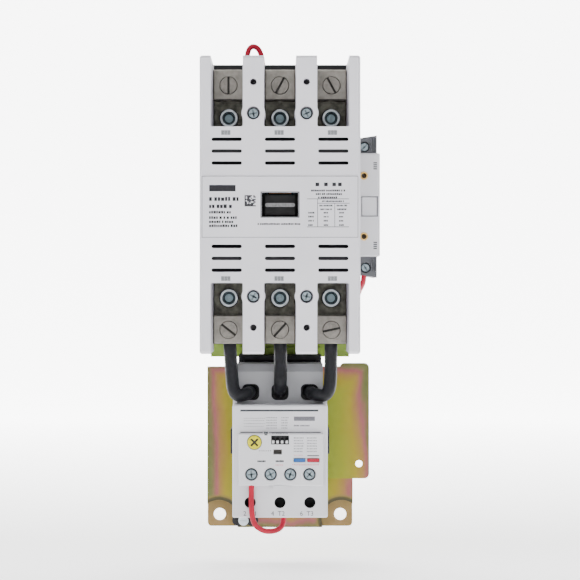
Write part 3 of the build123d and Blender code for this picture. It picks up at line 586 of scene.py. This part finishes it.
lathe_rings = 16000
# Painted shade on the cover and control screw heads: the near-black outer ring stands for the shade
# round the head; the head is also darker at its middle.
zinc_head = turned_metal("zinc_head", 0.34, painted_rings=(
    (0.0, (0.13, 0.17, 0.19)), (0.22, (0.27, 0.33, 0.36)), (0.40, (0.21, 0.26, 0.29)),
    (0.49, (0.03, 0.035, 0.04))))
lug_screw_metal = turned_metal("lug_screw_metal", 0.42, colour=(0.24, 0.225, 0.20))
# Painted light on the bolt heads: the near-black ring is painted shadow in the socket, the bright
# ring on the rim a painted highlight, and the dark outer edge painted shade.
socket_metal = turned_metal("socket_metal", 0.34, painted_rings=(
    (0.0, (0.30, 0.38, 0.42)), (0.36, (0.26, 0.36, 0.40)), (0.43, (0.02, 0.035, 0.042)),
    (0.62, (0.03, 0.045, 0.052)), (0.69, (0.46, 0.50, 0.52)), (0.84, (0.50, 0.53, 0.55)),
    (0.90, (0.10, 0.11, 0.12))))

screw_labels = ("Head Radius", "Head Height", "Edge", "Drive Width", "Drive Depth",
                "Shank Radius", "Shank Length")
slotted = screw_tree("slotted_screw", "slot")
crossed = screw_tree("crossed_screw", "cross")
socketed = screw_tree("socket_screw", "socket")

pole_pitch = 29.8
poles = (-pole_pitch, 0, pole_pitch)
pillars = (-pole_pitch / 2, pole_pitch / 2)
centre_z = 187.2
lug_screw_seat, lug_screw_rise = 99.9, 70.7
for node, end, degrees in (("line_lug_screws", 1, (90, 62, 118)),
                           ("load_lug_screws", -1, (-38, 48, 12))):
    screws(node, slotted, [(x, -lug_screw_seat, centre_z + end * lug_screw_rise) for x in poles],
           [math.radians(turn) for turn in degrees], (5.1, 4.3, 0.35, 1.25, 1.5, 4.4, 0.8),
           lug_screw_metal, 0.08)

bolt_seat, bolt_rise = 87, 52.4
bolt_spots = [(x, -bolt_seat, centre_z + end * bolt_rise) for x in poles for end in (1, -1)]
screws("strap_bolts", socketed, bolt_spots, [0.3 + 0.37 * step for step in range(len(bolt_spots))],
       (5.5, 8, 0.5, 3.5, 3.6, 2.9, 16), socket_metal, 0.12)

cover_seat, cover_screw_rise = 144, 51.3
cover_spots = [(x, -cover_seat, centre_z + end * cover_screw_rise)
               for x in pillars for end in (1, -1)]
screws("cover_screws", crossed, cover_spots, [0.2 + 0.9 * step for step in range(len(cover_spots))],
       (3.2, 2.6, 0.6, 0.9, 1.3, 1.6, 40), zinc_head, 0.06)

control_seat, control_z = 112, 33.6
control_xs = (-16.4, -5.4, 5.9, 16.9)
screws("control_screws", crossed, [(x, -control_seat, control_z) for x in control_xs],
       (0.1, 0.5, -0.3, 0.9), (3.4, 2.1, 0.45, 0.9, 1.1, 1.5, 2), zinc_head, 0.06)

screws("aux_screws", slotted, [(48.6, -108, 221.8), (49.2, -108, 152.3)], (0.8, 2.1),
       (2.6, 2.5, 0.4, 0.8, 1.1, 1.2, 7), zinc_head, 0.06)


# Relay controls: a bright moulded dial, a switch block with four rockers, two keys and a trip
# flag, snapped into the front of the relay from behind.
def by_depth(material, limit, colour):
    """Colours the part of a piece that stands further forward than a depth."""
    tree = material.node_tree
    shader = tree.nodes["Principled BSDF"]
    place = tree.nodes["Texture Coordinate"].outputs["Object"]
    below = shader.inputs["Base Color"].links[0].from_socket
    forward = calculate(tree, "LESS_THAN", build_node(
        tree, "ShaderNodeSeparateXYZ", {"Vector": place}).outputs["Y"], -limit * mm)
    forward_colour = shades(tree, noise(tree, place, 900, 4), (0.3, tinted(colour, 0.7)), (0.65, colour))
    mixed = build_node(tree, "ShaderNodeMix", data_type="RGBA")
    for socket, value in zip((mixed.inputs[0], mixed.inputs[6], mixed.inputs[7]),
                             (forward, below, forward_colour)):
        tree.links.new(value, socket)
    tree.links.new(mixed.outputs[2], shader.inputs["Base Color"])


dial_face, ridge_face = 114.2, 143.2
dial_yellow = moulded("dial_yellow", (0.03, 0.03, 0.02), 0.38, drift=0.06)
by_depth(dial_yellow, dial_face, (0.70, 0.64, 0.0))
key_blue = moulded("key_blue", (0.02, 0.10, 0.32), 0.36, drift=0.08)
key_red = moulded("key_red", (0.36, 0.008, 0.03), 0.36, drift=0.08)
flag_yellow = moulded("flag_yellow", (0.16, 0.15, 0.13), 0.4, drift=0.1)
white_moulding = moulded("white_moulding", (0.70, 0.70, 0.71), 0.4)
softened("fla_dial", "trip_dial", 0.15, dial_yellow)
softened("dip_block", "switch_block", 0.1, black_moulding)
for number in range(1, 5):
    softened(f"dip_slider_{number}", f"switch_rocker_{number}", 0.1, white_moulding)
softened("reset_button", "reset_key", 0.12, key_blue)
softened("test_button", "test_key", 0.12, key_red)
softened("trip_flag", "trip_flag_bar", 0.1, flag_yellow)
softened("aux_plunger", "aux_push_bar", 0.3, relay_plastic)
# The contact carrier is black; its ridge, forward of ridge_face, is painted a lighter grey as a
# painted highlight along the ridge.
carrier_black = moulded("carrier_black", (0.006, 0.006, 0.007), 0.5, relief=0.2, drift=0.2)
by_depth(carrier_black, ridge_face, (0.20, 0.20, 0.205))
softened("crossbar", "contact_carrier", 0.2, carrier_black)


# Works inside the two housings: laminated magnet and armature, copper coil, silver-tipped copper
# bridges, steel arc plates, spring wire, the relay's transformers and its green circuit board.
def wound_copper():
    """Enamelled winding wire lying in close level turns."""
    material, tree, shader, place = start_material("wound_copper", 0.34, 0.6)
    turns = build_node(tree, "ShaderNodeTexWave", {
        "Vector": place, "Scale": 420.0, "Distortion": 0.4},
        wave_type="BANDS", bands_direction="Y").outputs["Fac"]
    tone = shades(tree, turns, (0.1, (0.20, 0.06, 0.025)), (0.6, (0.58, 0.22, 0.09)))
    tree.links.new(tone, shader.inputs["Base Color"])
    roughen(tree, shader, turns, 0.5, 0.0003)
    return material


def board_green():
    """Solder mask over copper tracks, with tinned pads."""
    material, tree, shader, place = start_material("board_green", 0.3)
    cells = build_node(tree, "ShaderNodeTexVoronoi", {"Vector": place, "Scale": 260.0},
                       distance="CHEBYCHEV").outputs["Distance"]
    tone = shades(tree, cells, (0.12, (0.50, 0.47, 0.40)), (0.2, (0.012, 0.10, 0.035)),
                  (0.6, (0.02, 0.17, 0.06)))
    tree.links.new(tone, shader.inputs["Base Color"])
    roughen(tree, shader, cells, 0.2, 0.0002)
    return material


def coat(material, *names):
    """Covers carried-over pieces that stay as they were designed."""
    for name in names:
        covered(frame["nodes"][name].data, material)


sides = ("left", "middle", "right")
# Near-black steel for the relay's lugs and their screws: painted shade deep in the load holes.
painted_shade_steel = plated_metal("painted_shade_steel", (0.06, 0.06, 0.062), 0.45, 1200, 0.3)
spring_wire = plated_metal("spring_wire", (0.42, 0.43, 0.45), 0.28, 1500, 0.15)
bobbin_nylon = moulded("bobbin_nylon", (0.05, 0.05, 0.055), 0.42, drift=0.1)
coat(laminated_steel, "magnet_core", "armature", "arc_plates")
coat(bare_copper, "shading_rings", *(f"contact_bridge_{side}" for side in sides))
coat(silver_alloy, "contact_tips")
coat(spring_wire, "return_springs", *(f"contact_spring_{side}" for side in sides))
coat(zinc_plate, "plate_screws")
coat(wound_copper(), "coil_winding")
coat(bobbin_nylon, "coil_bobbin")
coat(black_moulding, "current_transformers", "arc_baffles")
# The relay's lugs and screws take the near-black steel as painted shade inside the load holes.
coat(painted_shade_steel, "relay_lugs", "relay_lug_screws")
coat(board_green(), "circuit_board")


# Printing: pad-printed ink on the nameplate, the cover and the relay, a few hundredths of a
# millimetre thick. Rows of short dashes stand for the wording, which isn't reproduced.
def print_tree():
    """A thin slab on every point, as wide and high as the point says."""
    tree, given = start_tree("printed_marks", ("Thickness", "Float", 0.03 * mm),
                             ("Material", "Material", None))
    slab = build_node(tree, "GeometryNodeMeshCube", {"Size": (1, 1, 1)}).outputs["Mesh"]
    width, height = (build_node(tree, "GeometryNodeInputNamedAttribute", {"Name": label},
                                data_type="FLOAT").outputs["Attribute"] for label in ("wide", "high"))
    laid = build_node(tree, "GeometryNodeInstanceOnPoints", {
        "Points": given["Geometry"], "Instance": slab,
        "Scale": vector(tree, width, given["Thickness"], height)})
    end_tree(tree, laid.outputs["Instances"], given["Material"])
    return tree


def ink(name, colour):
    """Matt ink that thins out unevenly over the grain below."""
    material, tree, shader, place = start_material(name, 0.6)
    tone = shades(tree, noise(tree, place, 1600, 3), (0.35, colour), (0.75, tinted(colour, 1.7)))
    tree.links.new(tone, shader.inputs["Base Color"])
    roughen(tree, shader, noise(tree, place, 2500, 2), 0.15, 0.0001)
    return material


chance = random.Random(11)


def bar(left, right, low, high):
    """One solid mark, as (x, z, width, height)."""
    return [((left + right) / 2, (low + high) / 2, right - left, high - low)]


def dashes(left, right, middle, height, gap=0.2):
    """A row of short marks of uneven width, as a line of small print reads from a distance."""
    marks = []
    x = left
    while x < right - 0.3 * height:
        width = height * chance.uniform(0.5, 0.85)
        rise = height * chance.uniform(0.82, 1.0)
        marks.append((x + width / 2, middle - (height - rise) / 2, width, rise))
        x += width + height * (gap if chance.random() < 0.84 else 0.6)
    return marks


ink_thickness = 0.04
printed = print_tree()


def printing(name, marks, depth, material, base_z=0.0):
    """Marks laid on a face at a depth, all in one ink."""
    grow(name, printed, [(x, -depth, base_z + z) for x, z, width, height in marks],
         {"Thickness": ink_thickness * mm, "Material": material}, None,
         {"wide": [mark[2] * mm for mark in marks], "high": [mark[3] * mm for mark in marks]})


dark_ink = ink("dark_ink", (0.010, 0.010, 0.013))
grey_ink = ink("grey_ink", (0.12, 0.12, 0.135))
rose_ink = ink("rose_ink", (0.52, 0.27, 0.30))
marker_grey = ink("marker_grey", (0.05, 0.052, 0.058))
pale_marker = ink("pale_marker", (0.15, 0.155, 0.165))

nameplate_face, cover_face, aux_face = 150.3, 150, 115
relay_face, panel_face, slit_face = 110, 114, 109.04
plate_marks = bar(-39.6, -24.8, 7.4, 11.0)
for left, right, middle, height in (
        (-39.6, -22.6, 3.2, 2.3), (-39.6, -27.5, -0.9, 2.1), (-39.6, -27.4, -4.2, 1.5),
        (-39.6, -23.6, -7.2, 1.6), (-39.6, -26, -9.6, 1.4), (-39.6, -24, -11.8, 1.5),
        (-12.5, 11.3, -10.8, 1.0), (17.4, 36.3, 7.9, 1.1), (20, 34.5, 5.95, 1.1),
        (21.3, 31.7, 4.0, 1.1),
        (23.5, 36, 1.9, 0.95), (22, 29.6, -0.5, 0.95), (31.6, 37.8, -0.5, 0.95),
        (22.6, 28.8, -2.6, 0.95), (32, 37.2, -2.6, 0.95)):
    plate_marks += dashes(left, right, middle, height)
for left in (19.8, 24.6, 29.2, 32.4):
    plate_marks += bar(left, left + 2.1, 10.3, 12.3)
for middle in (-4.5, -6.7, -9.0, -11.4):
    for left, length in ((15.8, 3.0), (24.4, 2.4), (33, 2.6)):
        plate_marks += dashes(left, left + length, middle, 0.95)
cell = 0.7
for row in range(9):
    for column in range(9):
        if chance.random() < 0.7:
            plate_marks += bar(-19.8 + cell * column, -19.12 + cell * column,
                               -1 + cell * row, -0.32 + cell * row)
printing("nameplate_print", plate_marks, nameplate_face, dark_ink, centre_z)

table_lines = (bar(15.1, 38.5, 3.05, 3.4) + bar(21, 38.9, 0.6, 0.92) + bar(15.1, 38.5, -12.6, -12.25)
               + bar(20.85, 21.15, -12.4, 3.2) + bar(30.45, 30.75, -12.4, 0.75))
printing("nameplate_table", table_lines, nameplate_face, marker_grey, centre_z)
border_lines = (bar(-43.6, 43.6, 15.7, 15.95) + bar(-43.6, 43.6, -18.4, -18.1)
                + bar(-43.7, -43.4, -18.4, 15.95) + bar(43.4, 43.7, -18.4, 15.95))
printing("nameplate_border", border_lines, nameplate_face, grey_ink, centre_z)

window_rim = (bar(-10.9, 10.9, 6.8, 7.3) + bar(-10.9, 10.9, -7.3, -6.8)
              + bar(-10.9, -10.3, -6.8, 6.8) + bar(10.3, 10.9, -6.8, 6.8))
printing("window_rim_print", window_rim, nameplate_face, marker_grey, centre_z)

markers = []
for x in poles:
    for height in (40.3, -41.3):
        for offset in (-1.75, 0, 1.75):
            middle = x - 0.5 + offset
            markers += bar(middle - 0.82, middle + 0.82, height - 1.3, height + 1.3)
printing("pole_markers", markers, cover_face, pale_marker, centre_z)

relay_marks = bar(8, 20.1, 64.1, 66.6)
for middle in (61, 62.6, 64.3, 65.6):
    relay_marks += dashes(-20.6, -8.9, middle, 0.6, 1.1)
for middle in (60, 61.5, 63, 64.5, 66):
    relay_marks += dashes(-7.8, -1.8, middle, 0.7, 0.6) + dashes(0.9, 4.6, middle, 0.7, 0.6)
relay_marks += dashes(8, 17, 61.4, 0.9)
printing("relay_print", relay_marks, relay_face, grey_ink)
# Not ink: the dark strip laid in the relay's slit is painted shade.
printing("relay_slit_shade", bar(-22.9, 22.1, 69.55, 70.55), slit_face, marker_grey)
printing("relay_shield_mark", bar(-9.4, -6.8, 56.9, 58.2) + bar(-9.0, -7.2, 56.0, 56.8),
         panel_face, marker_grey)
aux_marks = []
for height in (165, 210.7):
    for step in range(4):
        aux_marks += bar(53.6, 55.7, height - 2 + 1.15 * step, height - 1.3 + 1.15 * step)
printing("aux_side_marks", aux_marks, aux_face, marker_grey)
printing("relay_seam_line", bar(-22.9, 23.5, 57.25, 57.75), relay_face, marker_grey)

panel_marks = []
for row in range(6):
    middle = 46.8 + 1.55 * row
    panel_marks += dashes(8, 13.3, middle, 0.7, 0.5) + dashes(15.5, 20.8, middle, 0.7, 0.5)
panel_marks += dashes(-12, -5.2, 47.2, 0.7, 0.9) + dashes(-4.6, 4.6, 57, 0.7, 0.4)
printing("panel_print", panel_marks, panel_face, grey_ink)
dark_words = (dashes(-13, -8.3, 41.2, 1.1, 0.1) + dashes(-2.5, 2.7, 41.2, 1.1, 0.1)
              + bar(15.6, 22.5, 44.1, 44.6))
printing("panel_words", dark_words, panel_face, dark_ink)
printing("panel_captions", dashes(7, 22.7, 39.2, 0.9, 0.3) + dashes(8, 13, 44.6, 0.7, 0.5)
         + dashes(-2.6, 2, 39, 0.8, 0.4), panel_face, rose_ink)


# Terminal numbers: the plain numbering that every three-pole relay carries beside its terminals,
# printed in the same grey ink straight on the moulded front.
def terminal_number(name, words, x, z):
    """One printed number, turned to stand on the relay's front."""
    curve = bpy.data.curves.new(name, "FONT")
    curve.body = words
    curve.size = 3.7 * mm
    curve.extrude = 0.02 * mm
    curve.align_x = "CENTER"
    curve.align_y = "CENTER"
    curve.materials.append(marker_grey)
    label = bpy.data.objects.new(name + "_outline", curve)
    scene.collection.objects.link(label)
    bpy.context.view_layer.update()
    graph = bpy.context.evaluated_depsgraph_get()
    mesh = bpy.data.meshes.new_from_object(label.evaluated_get(graph))
    bpy.data.objects.remove(label)
    for vertex in mesh.vertices:
        across, up, out = vertex.co
        vertex.co = Vector((across + x * mm, -relay_face * mm - out, up + z * mm))
    piece = bpy.data.objects.new(name, mesh)
    scene.collection.objects.link(piece)
    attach(piece, "frame")


number_height = 10.6
for number, (words, x) in enumerate((("2  T1", -17.2), ("4  T2", -1.2), ("6  T3", 15.4)), start=1):
    terminal_number(f"terminal_number_{number}", words, x, number_height)


# Stage: a sheet of pale paper that lies under the starter and curves up behind it, lit softly
# from four large panels. It glows more towards the back, as a backdrop with its own light does.
def sweep_floor():
    """The paper sheet, as one strip that follows its side profile."""
    shape = bmesh.new()
    flat_end, bend, steps = 1.6, 1.2, 12
    profile = [(-4.0, 0.0), (flat_end, 0.0)]
    for step in range(1, steps + 1):
        turn = math.radians(90 * step / steps)
        profile.append((flat_end + bend * math.sin(turn), bend * (1 - math.cos(turn))))
    profile.append((flat_end + bend, 5.0))
    drop = cad_low.z - 0.02
    rows = []
    for side in (-5.0, 5.0):
        rows.append([shape.verts.new((side, y, z + drop)) for y, z in profile])
    for k in range(len(profile) - 1):
        shape.faces.new((rows[0][k], rows[1][k], rows[1][k + 1], rows[0][k + 1]))
    mesh = bpy.data.meshes.new("floor")
    shape.to_mesh(mesh)
    shape.free()
    floor = bpy.data.objects.new("floor", mesh)
    scene.collection.objects.link(floor)
    mesh.shade_smooth()
    return floor


floor = sweep_floor()
floor_material, floor_tree, floor_shader, floor_place = start_material("floor_paper", 0.9)
floor_shader.inputs["Base Color"].default_value = (0.93, 0.93, 0.93, 1)
floor_shader.inputs["Emission Color"].default_value = (1, 1, 1, 1)
floor_back = build_node(floor_tree, "ShaderNodeSeparateXYZ", {"Vector": floor_place}).outputs["Y"]
glow = build_node(floor_tree, "ShaderNodeMapRange", {
    "Value": floor_back, "From Min": 0.1, "From Max": 1.5, "To Min": 1.0, "To Max": 6.0})
floor_tree.links.new(glow.outputs["Result"], floor_shader.inputs["Emission Strength"])
floor.data.materials.append(floor_material)


def soft_light(name, place, aim, size, watts):
    """A square light panel, turned towards the starter."""
    data = bpy.data.lights.new(name, "AREA")
    data.shape = "SQUARE"
    data.size = size
    data.energy = watts
    light = bpy.data.objects.new(name, data)
    light.location = place
    light.rotation_euler = (Vector(aim) - Vector(place)).to_track_quat("-Z", "Y").to_euler()
    scene.collection.objects.link(light)


aim = (0, -0.08, 0.14)
soft_light("key_light", (-0.9, -1.5, 1.5), aim, 1.1, 20)
soft_light("fill_light", (1.3, -1.3, 0.6), aim, 1.2, 6)
soft_light("low_light", (0.0, -1.5, 0.1), aim, 0.8, 4)
soft_light("top_light", (0.1, 0.1, 1.6), aim, 1.2, 12)

world = bpy.data.worlds.new("studio")
world.use_nodes = True
world.node_tree.nodes["Background"].inputs["Color"].default_value = (1, 1, 1, 1)
world.node_tree.nodes["Background"].inputs["Strength"].default_value = 0.22
scene.world = world
